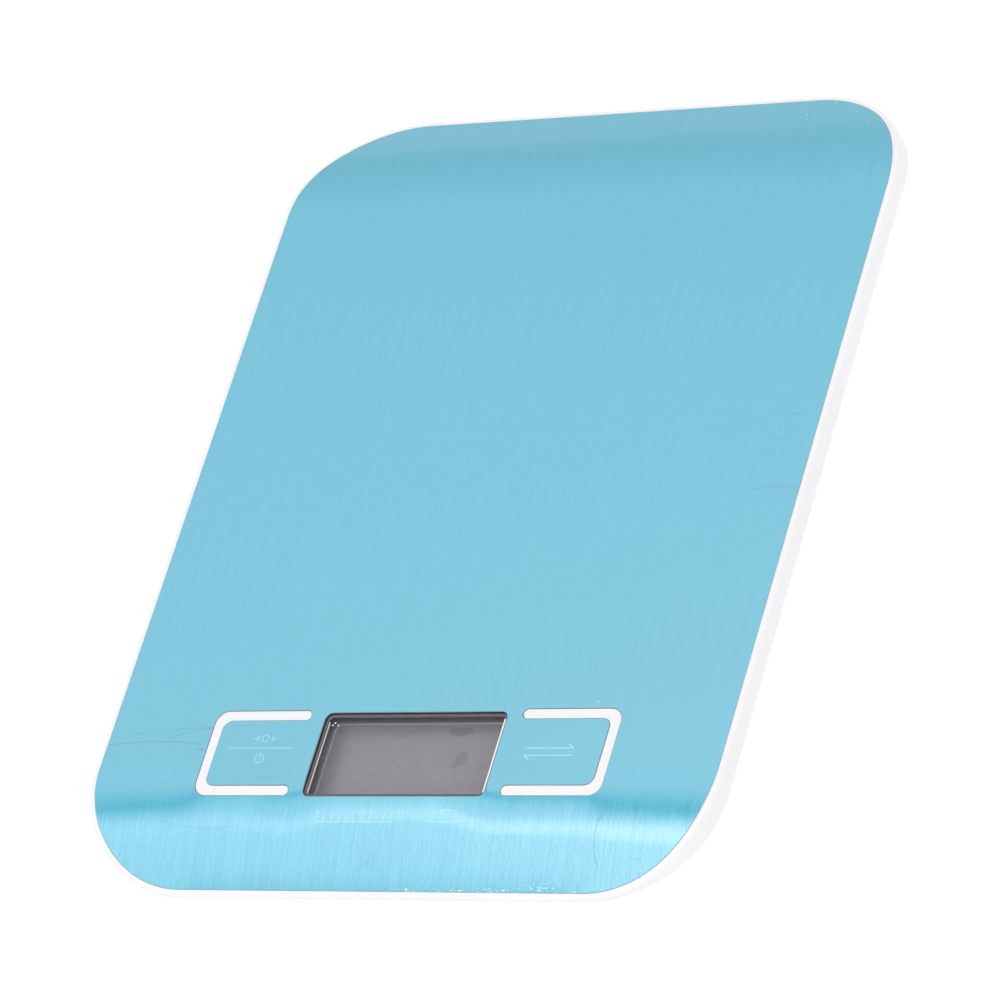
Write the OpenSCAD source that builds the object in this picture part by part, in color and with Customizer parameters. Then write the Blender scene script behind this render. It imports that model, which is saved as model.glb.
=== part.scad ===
// Slim digital kitchen scale: a curved steel platform on a single-point load
// cell, with a display window and two spring keys cut into the platform plate.
// Millimetres. +X to the right of the display, +Y to the rear, +Z up.
// Origin: centre of the footprint, on the surface that the feet stand on.

/* [Overall] */
// Width across the white shell
overall_w = 180; // [178:1:184]
// Depth across the white shell, front to rear
overall_d = 230; // [228:1:234]
// Height from the feet to the flat top of the plate
overall_h = 17; // [17:0.1:17.6]
// Plan radius of the shell's corners
corner_r = 32.5; // [31:0.5:34]
// Width of the white rim left showing round the plate
rim_w = 1.5; // [1.3:0.1:1.7]

/* [Platform plate] */
// Thickness of the brushed steel sheet
plate_t = 0.5; // [0.4:0.05:0.6]
// Radius of the bend across each end, on the top face
bend_r = 60; // [55:1:70]
// Sine of the plate's slope past the bend
bend_s = 0.28; // [0.26:0.01:0.29]
// Distance from the plate's end to the start of the bend
bend_len = 29; // [28:0.5:30]
// Thickness of the adhesive sheet under the plate
tape_t = 0.2; // [0.1:0.05:0.25]

/* [Platform shell] */
// Thickness of the shell's roof
roof_t = 1.6; // [1.5:0.1:1.7]
// Thickness of the skirt wall
skirt_t = 2; // [1.8:0.1:2.2]
// Height of the skirt's lower edge along the sides
skirt_side_z = 11.4; // [11.2:0.1:11.6]
// Height of the skirt's lower edge across the ends
skirt_end_z = 9; // [8.9:0.1:9.1]

/* [Display] */
// Width of the display window
window_w = 52.4; // [51.6:0.1:52.8]
// Depth of the display window, front to rear
window_d = 23.3; // [22.8:0.1:23.5]
// Distance of the window's centre in front of the middle of the plate
window_off = 78.95; // [78.8:0.05:79.1]
// Depth of the liquid crystal panel's face below the plate
lcd_depth = 6; // [5.8:0.1:6]

/* [Keys] */
// Distance from the middle of the plate to a key's bending line
key_root = 30.3; // [30.2:0.1:30.5]
// Distance from the middle of the plate to the outer edge of a key slot
key_out = 58.3; // [58:0.1:58.5]
// Depth of a key slot's outline, front to rear
key_d = 23.85; // [23.6:0.05:24]
// Width of a key slot
slot_w = 2.9; // [2.8:0.05:3]
// Gap between the plate and the white rib that fills a slot
rib_gap = 0.15; // [0.12:0.01:0.2]

/* [Base] */
// Height of the rubber feet below the base
foot_h = 1.5; // [1.5:0.1:1.6]
// Diameter of a rubber foot
foot_dia = 13; // [11:0.5:15]
// Thickness of the base floor and walls
base_t = 1.8; // [1.7:0.1:1.9]
// Free height between the base walls and the platform
float_gap = 1.1; // [1:0.1:1.3]

/* [Load cell] */
// Length of the load cell beam
cell_l = 47; // [46:0.5:48]
// Width of the load cell beam
cell_w = 12; // [11:0.5:13]
// Height of the load cell beam
cell_h = 6; // [5.8:0.1:6]

/* [Hidden] */

$fn = 96;
plate_w = overall_w - 2*rim_w;
plate_d = overall_d - 2*rim_w;
plate_r = corner_r - rim_w;
bend_y = plate_d/2 - bend_len;
bend_c = sqrt(1 - bend_s*bend_s);      // cosine of the slope
recess_t = plate_t + tape_t;           // depth of the plate's seat in the shell
roof_low = recess_t + roof_t;          // depth of the roof's underside
roof_z = overall_h - roof_low;
win_y = -window_off;
key_y = -78.525;                       // middle of the keys
key_in = key_out - slot_w;             // outer end of a key tongue
base_z = foot_h;                       // underside of the base
floor_z = base_z + base_t;             // top of the base floor
lcd_z = overall_h - lcd_depth;         // face of the display panel
pcb_z = 5.6;                           // underside of the circuit board
pcb_t = 1.2;
pcb_top = pcb_z + pcb_t;
cell_z = 5.3;                          // underside of the load cell
switch_x = 46;                         // key switch, from the middle
pad_z = overall_h - plate_t - 1.6;     // underside of a key pad
plunger_top = pcb_top + 5;
pcb_holes = [[33, -66.5], [33, -91], [58, -78.5], [-33, -66.5], [-33, -91], [-58, -78.5]];
cell_r = 5.25;                         // radius of an AAA cell
cells_y = [56.1, 66.9];
cells_z = 3.05 + cell_r;
door_y0 = 50.5;
door_y1 = 75.1;
door_w = 53.2;
door_t = 1.4;

// ---------- shared shapes ----------

// rounded rectangle, centred
module rrect(w, d, r) {
  square([w - 2*r, d], center = true);
  square([w, d - 2*r], center = true);
  for (x = [-1, 1], y = [-1, 1])
    translate([x*(w/2 - r), y*(d/2 - r)]) circle(r = r);
}

module prism(w, d, r, z0, z1) {
  translate([0, 0, z0]) linear_extrude(height = z1 - z0) rrect(w, d, r);
}

// a section drawn as (y, z), extruded along X
module along_x(w) {
  translate([-w/2, 0, 0]) rotate([90, 0, 90]) linear_extrude(height = w) children();
}

// a section drawn as (x, z), extruded along Y
module along_y(d) {
  translate([0, d/2, 0]) rotate([90, 0, 0]) linear_extrude(height = d) children();
}

// everything below the plate's top face sunk by t, as a (y, z) section:
// flat in the middle, a bend in one-degree steps and a straight slope at each end
module under(t) {
  r = bend_r - t;
  cz = overall_h - bend_r;
  a = asin(bend_s);
  n = 16;
  half = concat([for (i = [0:n]) [bend_y + r*sin(a*i/n), cz + r*cos(a*i/n)]],
    [[bend_y + r*bend_s + 30*bend_c, cz + r*bend_c - 30*bend_s]]);
  far = half[n+1][0];
  polygon(concat(half, [[far, -20], [-far, -20]],
    [for (i = [n+1:-1:0]) [-half[i][0], half[i][1]]]));
}

module below_top(t) { along_x(overall_w + 20) under(t); }

// the slot round one key as a plan outline on the right, shrunk by g:
// three sides of a rounded rectangle with round ends at the bending line
module key_slot(g) {
  w = slot_w - 2*g;
  x0 = key_root + slot_w/2;
  y1 = key_d/2 - slot_w/2;
  ro = 3.6 - g;
  ri = 1.6;
  xo = key_out - g;
  xi = key_in + g;
  translate([0, key_y]) {
    intersection() {
      difference() {
        translate([xo - 40, 0]) rrect(80, key_d - 2*g, ro);
        translate([xi - 40, 0]) rrect(80, key_d - 2*slot_w + 2*g, ri);
      }
      translate([x0, -key_d]) square([60, 2*key_d]);
    }
    for (s = [-1, 1]) translate([x0, s*y1]) circle(r = w/2);
  }
}

// the hole in the plate that a key and its slot leave together
module key_hole() {
  key_slot(0);
  translate([key_root, key_y - key_d/2 + slot_w/2])
    square([key_in - key_root + 0.5, key_d - slot_w]);
}

// a tray solid: rounded plan, with the wall drawn as [inset, z] points
module pan(w, d, r, p) {
  n = len(p);
  for (x = [-1, 1], y = [-1, 1]) translate([x*(w/2 - r), y*(d/2 - r), 0])
    rotate_extrude() polygon(concat([[0, p[0][1]]], [for (q = p) [r - q[0], q[1]]], [[0, p[n-1][1]]]));
  along_x(w - 2*r) polygon(concat([for (q = p) [d/2 - q[0], q[1]]],
    [for (i = [n-1:-1:0]) [-(d/2 - p[i][0]), p[i][1]]]));
  along_y(d - 2*r) polygon(concat([for (q = p) [w/2 - q[0], q[1]]],
    [for (i = [n-1:-1:0]) [-(w/2 - p[i][0]), p[i][1]]]));
}

function unit3(v) = v / norm(v);
function path_dir(p, i) = unit3(p[min(i + 1, len(p) - 1)] - p[max(i - 1, 0)]);
function side_of(t) = unit3(cross(t, abs(t[2]) > 0.9 ? [1, 0, 0] : [0, 0, 1]));
// smooth curve through hand-set points
function catmull(a, b, c, d, u) =
  0.5*((2*b) + (c - a)*u + (2*a - 5*b + 4*c - d)*u*u + (3*b - a - 3*c + d)*u*u*u);
function smooth(p, n) = concat([for (i = [0:len(p)-2]) for (k = [0:n-1])
  catmull(p[max(i-1, 0)], p[i], p[i+1], p[min(i+2, len(p)-1)], k/n)], [p[len(p)-1]]);

// round bar of radius r along the points of p
module tube(p, r, sides = 8) {
  n = len(p);
  pts = [for (i = [0:n-1]) let (t = path_dir(p, i), u = side_of(t), v = cross(t, u))
    for (k = [0:sides-1]) p[i] + r*(cos(360*k/sides)*u + sin(360*k/sides)*v)];
  walls = [for (i = [0:n-2]) for (k = [0:sides-1]) let (k2 = (k + 1) % sides)
    [i*sides + k, i*sides + k2, (i+1)*sides + k2, (i+1)*sides + k]];
  tris = concat([for (f = walls) [f[0], f[2], f[1]]], [for (f = walls) [f[0], f[3], f[2]]]);
  polyhedron(points = pts, faces = concat(tris,
    [[for (k = [0:sides-1]) k]], [[for (k = [sides-1:-1:0]) (n-1)*sides + k]]));
}

module pan_head_screw(r, head_r, head_h, l) {
  cylinder(r = r, h = l);
  translate([0, 0, -head_h]) difference() {
    cylinder(r = head_r, h = head_h);
    for (a = [0, 90]) rotate([0, 0, a]) translate([-head_r*0.55, -0.35, -0.01]) cube([head_r*1.1, 0.7, head_h*0.5]);
  }
}

// ---------- base ----------

// wall line of the base: sloped in below the skirt, upright above
function base_wall(t, z0) = [[10 + t*1.26 - (z0 - base_z)*6.5/8.5, z0],
  [3.5 + t, base_z + 8.5 + t*0.34], [3.5 + t, 20]];

module base_shell() color("white") {
  difference() {
    intersection() {
      union() {
        difference() {
          pan(overall_w, overall_d, corner_r, base_wall(0, base_z));
          pan(overall_w, overall_d, corner_r, base_wall(base_t, floor_z));
        }
        // pad under the load cell
        translate([-10, 8, floor_z - 0.2]) cube([20, 17.5, cell_z - 1 - floor_z + 0.2]);
        // battery compartment walls
        translate([0, 63.9, 0]) difference() {
          translate([-27.2, -14.6, floor_z - 0.2]) cube([54.4, 29.2, 10.3]);
          translate([-25.8, -13.4, 0]) cube([51.6, 26.8, 30]);
        }
        // stiffening ribs on the floor
        for (x = [-45, 45]) translate([x - 0.7, -88, floor_z - 0.2]) cube([1.4, 26, 1]);
        for (x = [-45, 45]) translate([x - 0.7, -58, floor_z - 0.2]) cube([1.4, 142, 2.6]);
        for (y = [-50, -32, 34]) translate([-72, y - 0.7, floor_z - 0.2]) cube([144, 1.4, y == 34 ? 1.6 : 0.9]);
      }
      below_top(roof_low + float_gap);
    }
    // battery door opening
    translate([-door_w/2 - 0.2, door_y0 - 0.2, base_z - 1]) cube([door_w + 0.4, door_y1 - door_y0 + 0.4, base_t + 1.1]);
    // finger notch at the door
    translate([-8, door_y0 - 4.2, base_z - 1]) cube([16, 4.1, 1.9]);
    // seats of the rubber feet
    for (x = [-62, 62], y = [-84, 84]) translate([x, y, base_z - 1]) cylinder(d = foot_dia + 0.1, h = 1.6);
    // load cell screws
    for (y = [13, 20]) translate([0, y, 0]) {
      cylinder(r = 1.6, h = 10);
      cylinder(r = 2.9, h = base_z + 1.7);
    }
    // notches for the battery leads
    for (y = cells_y) translate([-28, y - 1, 11]) cube([3, 2, 5]);
  }
  // overload stops
  for (x = [-62, 62], y = [-40, 40]) translate([x, y, floor_z - 0.2])
    cylinder(d = 7, h = roof_z - 0.8 - floor_z + 0.2);
}

module rubber_feet() color("dimgray")
  for (x = [-62, 62], y = [-84, 84]) translate([x, y, 0]) {
    translate([0, 0, 0.5]) cylinder(d = foot_dia, h = base_z + 0.1);
    rotate_extrude() translate([foot_dia/2 - 1, 0.5]) { circle(r = 0.5, $fn = 48); }
    cylinder(d = foot_dia - 2, h = 1);
  }

module battery_door() color("white") {
  difference() {
    translate([-door_w/2, door_y0, base_z]) cube([door_w, door_y1 - door_y0, door_t]);
    // grip grooves
    for (k = [0:4]) translate([-7, door_y0 + 2.2 + k*1.6, base_z - 1]) cube([14, 0.7, 1.4]);
    // relief slots each side of the spring latch
    for (s = [-1, 1]) translate([s*9 - 0.4, door_y0 - 1, base_z - 1]) cube([0.8, 8, 5]);
  }
  // latch nib
  translate([-6, door_y0 - 0.12, base_z + 0.5]) cube([12, 0.6, 0.9]);
  // hooks that lever against the floor's edge
  for (x = [-17, 17]) translate([x - 2, 0, 0]) {
    translate([0, 73, base_z + door_t - 0.2]) cube([4, 2.1, 1.65]);
    translate([0, 74.5, floor_z + 0.2]) cube([4, 2.3, 0.85]);
  }
  // stiffening ribs between the cells
  for (y = [61.3]) translate([-22, y, base_z + door_t - 0.2]) cube([44, 0.4, 1]);
}

// one AAA cell, positive end towards +X
module aaa(nub_x) {
  translate([nub_x, 0, 0]) rotate([0, -90, 0]) {
    cylinder(r = 1.9, h = 1);
    translate([0, 0, 0.9]) cylinder(r = cell_r - 0.35, h = 0.4);
    translate([0, 0, 1.2]) cylinder(r = cell_r, h = 42.7);
    translate([0, 0, 43.8]) cylinder(r = cell_r - 0.9, h = 0.6);
  }
}

module battery_cell_front() color("silver") translate([0, cells_y[0], cells_z]) aaa(24.4);
module battery_cell_rear() color("silver") translate([0, cells_y[1], cells_z]) mirror([1, 0, 0]) aaa(24.4);

// coil that presses on a cell's negative end; starts at the plate on -X
function coil(x0, x1, turns, n) = [for (i = [0:n])
  [x0 + (x1 - x0)*i/n, (3.4 - 1.2*i/n)*cos(360*turns*i/n), (3.4 - 1.2*i/n)*sin(360*turns*i/n)]];

module spring_contact(y0, y1) {
  translate([-25.75, y0, 4.2]) cube([0.4, y1 - y0, 8.2]);
  translate([0, (y0 + y1)/2, cells_z]) tube(coil(-25.5, -20.35, 3.5, 56), 0.3);
}

module button_contact(y0, y1) {
  translate([-25.75, y0, 4.2]) cube([0.4, y1 - y0, 8.2]);
  translate([-25.4, (y0 + y1)/2, cells_z]) rotate([0, 90, 0]) cylinder(r = 1.6, h = 0.95);
}

module battery_contact_bridge() color("silver") mirror([1, 0, 0]) {
  spring_contact(62.3, 71.5);
  button_contact(51.5, 60.7);
  translate([-25.75, 60.5, 6.5]) cube([0.4, 2, 4]);
}

module battery_contact_negative() color("silver") spring_contact(51.5, 60.7);
module battery_contact_positive() color("silver") button_contact(62.3, 71.5);

// ---------- load cell ----------

module load_cell() color("lightgray") difference() {
  translate([-cell_w/2, -cell_l/2, cell_z]) cube([cell_w, cell_l, cell_h]);
  // flexure window: two bores joined by a slot
  for (y = [-5.5, 5.5]) translate([-cell_w, y, cell_z + cell_h/2]) rotate([0, 90, 0]) cylinder(r = 2.2, h = 2*cell_w);
  translate([-cell_w, -5.5, cell_z + cell_h/2 - 1]) cube([2*cell_w, 11, 2]);
  // tapped holes
  for (y = [-20, -13, 13, 20]) translate([0, y, cell_z - 1]) cylinder(r = 1.5, h = cell_h + 2);
}

module strain_gauges() color("whitesmoke") {
  for (s = [-1, 1]) translate([-4, s*5.5 - 2.5, cell_z + cell_h]) cube([8, 5, 0.35]);
  for (s = [-1, 1]) translate([-4, s*5.5 - 2.5, cell_z - 0.35]) cube([8, 5, 0.35]);
}

module spacer(y0, z0) difference() {
  translate([-cell_w/2, y0, z0]) cube([cell_w, 14, 1]);
  for (y = [3.5, 10.5]) translate([0, y0 + y, z0 - 1]) cylinder(r = 1.6, h = 3);
}

module load_cell_base_spacer() color("gray") spacer(9.5, cell_z - 1);
module load_cell_platform_spacer() color("gray") spacer(-23.5, cell_z + cell_h);

module load_cell_base_screws() color("silver")
  for (y = [13, 20]) translate([0, y, base_z + 1.7]) pan_head_screw(1.48, 2.75, 1.6, 7);

module load_cell_platform_screws() color("silver")
  for (y = [-20, -13]) translate([0, y, roof_z]) mirror([0, 0, 1]) pan_head_screw(1.48, 2.75, 1.5, 8);

// four fine leads from the gauges to the board
module load_cell_wires() color("crimson")
  for (i = [0:3]) tube(smooth([[6.6, -2 + i*1.5, 8.6], [9 + i*1.2, -4.5 + i, 7.6], [15 + i*1.4, -14, 5.8],
    [26 + i*1.5, -40, 5.4], [36 + i*1.5, -56, 6.4], [37.5 + i*1.5, -61.4, 9.2], [37.5 + i*1.5, -64.8, 8.6],
    [37.5 + i*1.5, -65.4, pcb_top + 0.15]], 3), 0.45);

// two leads from the battery contacts to the board
module battery_wires() color("black")
  for (i = [0:1]) tube(smooth([[-26.25, cells_y[i], 11.8], [-29.5, cells_y[i] - 0.5, 11.4],
    [-31.5 - i*1.5, 44, 7], [-33 - i*1.5, 28, 6.1], [-35 - i*1.5, -20, 5.4], [-37 - i*1.5, -54, 6.4],
    [-38 - i*1.6, -61.4, 9.2], [-38 - i*1.6, -64.8, 8.6], [-38 - i*1.6, -65.4, pcb_top + 0.15]], 3), 0.5);

// ---------- platform ----------

// what is cut off below the skirt's lower edge, as a (y, z) section
module skirt_cut() {
  h = (skirt_side_z - skirt_end_z)/2;
  r = (144 + h*h)/(2*h);
  difference() {
    union() {
      translate([-79, -10]) square([158, skirt_side_z + 10]);
      translate([-130, -10]) square([260, skirt_end_z + 10]);
      for (s = [-1, 1]) intersection() {
        translate([s*79, skirt_side_z - r]) circle(r = r, $fn = 720);
        translate([s*85 - 6, -10]) square([12, 30]);
      }
      for (s = [-1, 1]) translate([s*97 - 6, -10]) square([12, skirt_end_z + h + 10]);
    }
    for (s = [-1, 1]) intersection() {
      translate([s*103, skirt_end_z + r]) circle(r = r, $fn = 720);
      translate([s*97.5 - 6.5, -10]) square([13, 60]);
    }
  }
}

module platform_shell() color("white") {
  difference() {
    union() {
      difference() {
        intersection() {
          below_top(0.05);
          prism(overall_w, overall_d, corner_r, 0, 20);
        }
        // seat of the plate
        difference() {
          prism(plate_w + 0.2, plate_d + 0.2, plate_r + 0.1, -1, 25);
          below_top(recess_t);
        }
        // hollow under the roof
        intersection() {
          below_top(roof_low);
          prism(overall_w - 2*skirt_t, overall_d - 2*skirt_t, corner_r - skirt_t, -1, 25);
        }
        along_x(overall_w + 20) skirt_cut();
      }
      // ribs that fill the key slots
      intersection() {
        for (s = [0, 1]) mirror([s, 0, 0]) translate([0, 0, roof_z + 0.3]) linear_extrude(height = 5) key_slot(rib_gap);
        below_top(0.1);
      }
      // posts for the circuit board
      intersection() {
        for (p = pcb_holes) translate([p[0], p[1], pcb_top]) cylinder(r = 2.4, h = 10);
        below_top(recess_t + 0.5);
      }
      // boss over the load cell
      translate([-8, -24.5, cell_z + cell_h + 1]) cube([16, 16, roof_z - cell_z - cell_h - 0.9]);
      // cross ribs under the roof
      for (y = [-48, 34]) translate([-70, y - 0.6, roof_z - 1]) cube([140, 1.2, 1.1]);
    }
    // display opening
    translate([0, win_y, 0]) prism(56.8, 27.8, 2.2, roof_z - 2, 25);
    // key openings, open under the whole of each tongue
    for (s = [0, 1]) mirror([s, 0, 0])
      translate([key_root + 0.6, key_y - key_d/2 + slot_w - rib_gap, roof_z - 2])
        cube([key_in + rib_gap - key_root - 0.6, key_d - 2*slot_w + 2*rib_gap, 9]);
    // board screw holes
    for (p = pcb_holes) translate([p[0], p[1], pcb_top - 1]) cylinder(r = 0.97, h = 7);
    // load cell screws, heads sunk below the plate
    for (y = [-20, -13]) translate([0, y, 5]) {
      cylinder(r = 1.6, h = 20);
      translate([0, 0, roof_z - 5]) cylinder(r = 2.9, h = 10);
    }
  }
}

module plate_adhesive() color("gainsboro") difference() {
  intersection() {
    difference() { below_top(plate_t); below_top(recess_t); }
    prism(plate_w - 3, plate_d - 3, plate_r - 1.5, 0, 20);
  }
  translate([0, win_y, 0]) prism(57.4, 28.4, 2.5, 0, 25);
  for (s = [0, 1]) mirror([s, 0, 0]) translate([key_root - 0.3, key_y - key_d/2 - 0.4, 0]) cube([key_out - key_root + 0.7, key_d + 0.8, 25]);
}

module platform_plate() color("skyblue") difference() {
  intersection() {
    difference() { below_top(0); below_top(plate_t); }
    prism(plate_w, plate_d, plate_r, 0, 20);
  }
  translate([0, win_y, 0]) prism(window_w, window_d, 2, 0, 25);
  for (s = [0, 1]) mirror([s, 0, 0]) linear_extrude(height = 25) key_hole();
}

// the spring tongue of a key, cut from the same sheet as the plate
module key_tongue() intersection() {
  difference() { below_top(0); below_top(plate_t); }
  linear_extrude(height = 25) difference() {
    translate([key_root + 0.02, key_y - key_d/2 + slot_w/2]) square([key_in - key_root - 0.02, key_d - slot_w]);
    key_slot(0);
  }
}

// the plastic pad bonded under a tongue, with the stud that works the switch
module key_pad() intersection() {
  union() {
    translate([33, key_y - 8.1, pad_z]) cube([key_in - 0.8 - 33, 16.2, 3]);
    translate([switch_x, key_y, plunger_top + 0.05]) cylinder(r = 2, h = pad_z - plunger_top);
    translate([36, key_y - 0.6, pad_z - 1.5]) cube([16, 1.2, 2]);
  }
  below_top(plate_t);
}

module unit_key_tongue() color("skyblue") key_tongue();
module power_key_tongue() color("skyblue") mirror([1, 0, 0]) key_tongue();
module unit_key_pad() color("white") key_pad();
module power_key_pad() color("white") mirror([1, 0, 0]) key_pad();

// ---------- display and board ----------

module display_lens() color("aliceblue", 0.4) translate([0, win_y, 0]) prism(54, 25, 2.4, 14.6, 15.8);

module display_bezel() color("dimgray") difference() {
  intersection() {
    translate([0, win_y, 0]) union() {
      prism(59, 30, 2.5, pcb_top, 13.9);
      prism(56.4, 27.4, 2, 10, 18);
    }
    below_top(recess_t + 0.05);
  }
  translate([0, win_y, 0]) {
    prism(54.2, 25.2, 2.5, 14.6, 20);
    prism(window_w, window_d, 2, 9, 20);
    translate([-27.7, -13.2, 0]) cube([55.4, 26.4, lcd_z]);
  }
}

module lcd_panel() color("darkgray") translate([0, win_y, 0]) {
  translate([-27.5, -13, lcd_z - 1.1]) cube([55, 24.2, 1.1]);
  translate([-27.5, -13, lcd_z - 2.2]) cube([55, 26, 1.1]);
}

module zebra_strips() color("hotpink") for (y = [-11.8, 11.8])
  translate([-25, win_y + y - 1.1, pcb_top]) cube([50, 2.2, lcd_z - 2.2 - pcb_top]);

module main_pcb() color("darkgreen") difference() {
  translate([-61, -94, pcb_z]) cube([122, 31, pcb_t]);
  for (p = pcb_holes) translate([p[0], p[1], 0]) cylinder(r = 1.1, h = 20);
}

module controller_chip() color("black") translate([-38.5, -80, pcb_top]) {
  cylinder(r = 4.5, h = 0.5);
  translate([0, 0, 0.4]) cylinder(r1 = 4.3, r2 = 2.6, h = 0.7);
}

module pcb_components() color("goldenrod") translate([0, 0, pcb_top]) {
  for (k = [0:3]) translate([33.5 + k*2.6, -80, 0]) cube([1.3, 2.2, 0.6]);
  for (k = [0:2]) translate([34 + k*3, -74, 0]) cube([2, 1.3, 0.8]);
  translate([36, -86.5, 0]) cylinder(r = 2.4, h = 3);
  translate([-44, -88, 0]) cube([7, 3, 2.4]);
  for (k = [0:2]) translate([-34.6, -77 + k*2.5, 0]) cube([2.2, 1.3, 0.6]);
}

module switch_housing() difference() {
  translate([switch_x - 3, key_y - 3, pcb_top]) cube([6, 6, 3.5]);
  translate([switch_x, key_y, pcb_top + 1]) cylinder(r = 1.8, h = 5);
  translate([switch_x, key_y, pcb_top + 1]) cylinder(r = 2.4, h = 1.4);
}

module switch_plunger() translate([switch_x, key_y, pcb_top + 1.55]) {
  cylinder(r = 1.75, h = 3.45);
  cylinder(r = 2.25, h = 0.7);
}

module unit_switch_housing() color("dimgray") switch_housing();
module power_switch_housing() color("dimgray") mirror([1, 0, 0]) switch_housing();
module unit_switch_plunger() color("white") switch_plunger();
module power_switch_plunger() color("white") mirror([1, 0, 0]) switch_plunger();

module pcb_screws() color("silver")
  for (p = pcb_holes) translate([p[0], p[1], pcb_z]) pan_head_screw(0.95, 1.9, 1.1, 6.5);

base_shell();
rubber_feet();
battery_door();
battery_cell_front();
battery_cell_rear();
battery_contact_bridge();
battery_contact_negative();
battery_contact_positive();
load_cell();
strain_gauges();
load_cell_base_spacer();
load_cell_platform_spacer();
load_cell_base_screws();
load_cell_platform_screws();
load_cell_wires();
battery_wires();
platform_shell();
plate_adhesive();
platform_plate();
power_key_tongue();
unit_key_tongue();
power_key_pad();
unit_key_pad();
display_lens();
display_bezel();
lcd_panel();
zebra_strips();
main_pcb();
controller_chip();
pcb_components();
power_switch_housing();
unit_switch_housing();
power_switch_plunger();
unit_switch_plunger();
pcb_screws();
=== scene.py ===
"""Looks for the slim kitchen scale: brushed blue plate, white body, sunk display, spring keys.
Metres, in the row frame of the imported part."""
import math

import bmesh
import bpy
import numpy as np
from mathutils import Matrix, Vector
from mathutils.geometry import delaunay_2d_cdt


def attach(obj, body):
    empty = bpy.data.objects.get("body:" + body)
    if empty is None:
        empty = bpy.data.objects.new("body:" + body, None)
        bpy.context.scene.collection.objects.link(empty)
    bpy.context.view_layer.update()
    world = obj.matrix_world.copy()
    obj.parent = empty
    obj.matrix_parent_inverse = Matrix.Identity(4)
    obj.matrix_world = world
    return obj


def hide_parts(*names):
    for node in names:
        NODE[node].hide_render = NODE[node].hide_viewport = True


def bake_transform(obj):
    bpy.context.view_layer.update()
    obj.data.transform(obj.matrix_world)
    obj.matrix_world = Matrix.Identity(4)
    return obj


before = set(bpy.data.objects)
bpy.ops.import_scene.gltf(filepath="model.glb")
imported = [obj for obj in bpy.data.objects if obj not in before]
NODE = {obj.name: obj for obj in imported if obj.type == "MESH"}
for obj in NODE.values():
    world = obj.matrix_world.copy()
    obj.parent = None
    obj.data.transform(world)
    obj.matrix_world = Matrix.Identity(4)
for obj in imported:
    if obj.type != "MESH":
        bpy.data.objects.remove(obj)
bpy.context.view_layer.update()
MM = 0.001

# ------------------------------------------------------------------ sizes, mm
W, D, H = 180.0, 230.0, 17.0
RIM = 1.5
CORNER = 32.5
PLATE_W, PLATE_D, PLATE_R = W - 2 * RIM, D - 2 * RIM, CORNER - RIM
PLATE_T = 0.5
BEND_R, BEND_S, BEND_START = 60.0, 0.28, 84.5
WIN_W, WIN_D, WIN_Y = 52.4, 23.3, -78.95
KEY_ROOT, KEY_OUT, KEY_D, KEY_Y, SLOT_W = 30.3, 58.3, 23.85, -78.525, 2.9
KEY_R = 2.4           # corner radius of the key leaves
SKIN = 0.015          # the plate is drawn this far below the CAD face, for the etched marks


# ------------------------------------------------------------------ height and slope of the plate
BEND_C = 0.96
BEND_END = BEND_START + BEND_R * BEND_S


def drop(y):
    u = abs(y) - BEND_START
    if u <= 0:
        return 0.0
    if u < BEND_R * BEND_S:
        return BEND_R - math.sqrt(BEND_R * BEND_R - u * u)
    return BEND_R * (1 - BEND_C) + (u - BEND_R * BEND_S) * BEND_S / BEND_C


def top(x, y, t=0.0):
    """Height of the plate's face sunk by t, for a point over which the face is level or sloping."""
    return H - drop(y) - t


def level_normal(x, y):
    """Normal of the bent sheet."""
    u = abs(y) - BEND_START
    s = max(0.0, min(BEND_S, u / BEND_R))
    return Vector((0, math.copysign(s, y) if y else 0.0, math.sqrt(1 - s * s)))


# pressed sheet: between the slots the bend starts late and sharply, runs nearly straight, then bends
# again; beside the slots it is one even curve that starts a little earlier towards the middle
OVER = math.radians(19.2)
SLOTTED = [(87.3, 0.0), (88.0, 1.6), (89.0, 5.4), (90.0, 9.7), (91.0, 11.6), (92.0, 12.4), (93.0, 12.65), (94.0, 12.9),
           (95.0, 13.2), (96.0, 13.7), (97.0, 14.5), (98.0, 15.4), (99.0, 16.8), (100.0, 18.4), (101.0, 19.3), (108.0, 20.0),
           (112.0, 21.4), (115.0, 22.6)]


def even_bend(u):
    if u <= 0:
        return 0.0
    u1 = BEND_R * math.sin(OVER)
    return math.asin(u / BEND_R) if u < u1 else OVER + math.radians(0.08) * (u - u1)


def bend_angle(x, y):
    if y > 0:
        return even_bend(y - BEND_START)
    ax, ay = abs(x), -y
    even = even_bend(ay - BEND_START + max(0.9, min(2.3, 2.12 - (ax - 60) * 0.040)))
    k = max(0.0, min(1.0, (ax - 51) / 12))
    k = k * k * (3 - 2 * k)
    if k >= 1:
        return even
    early = ay + 3.2 * max(0.0, min(1.0, (28 - ax) / 13)) * max(0.0, min(1.0, (110 - ay) / 6))
    if x < 0:
        early += 0.8 * max(0.0, min(1.0, (ax - 32) / 8)) * max(0.0, min(1.0, (104 - ay) / 6))
    slotted = np.interp(early, [t[0] for t in SLOTTED], [t[1] for t in SLOTTED])
    return even * k + math.radians(float(slotted)) * (1 - k)


def pressed_normal(x, y):
    a = bend_angle(x, y)
    return Vector((0, math.copysign(math.sin(a), y), math.cos(a)))


# ------------------------------------------------------------------ outlines
def arc(cx, cy, r, a0, a1, n):
    return [(cx + r * math.cos(math.radians(a0 + (a1 - a0) * i / n)),
             cy + r * math.sin(math.radians(a0 + (a1 - a0) * i / n))) for i in range(n + 1)]


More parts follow.
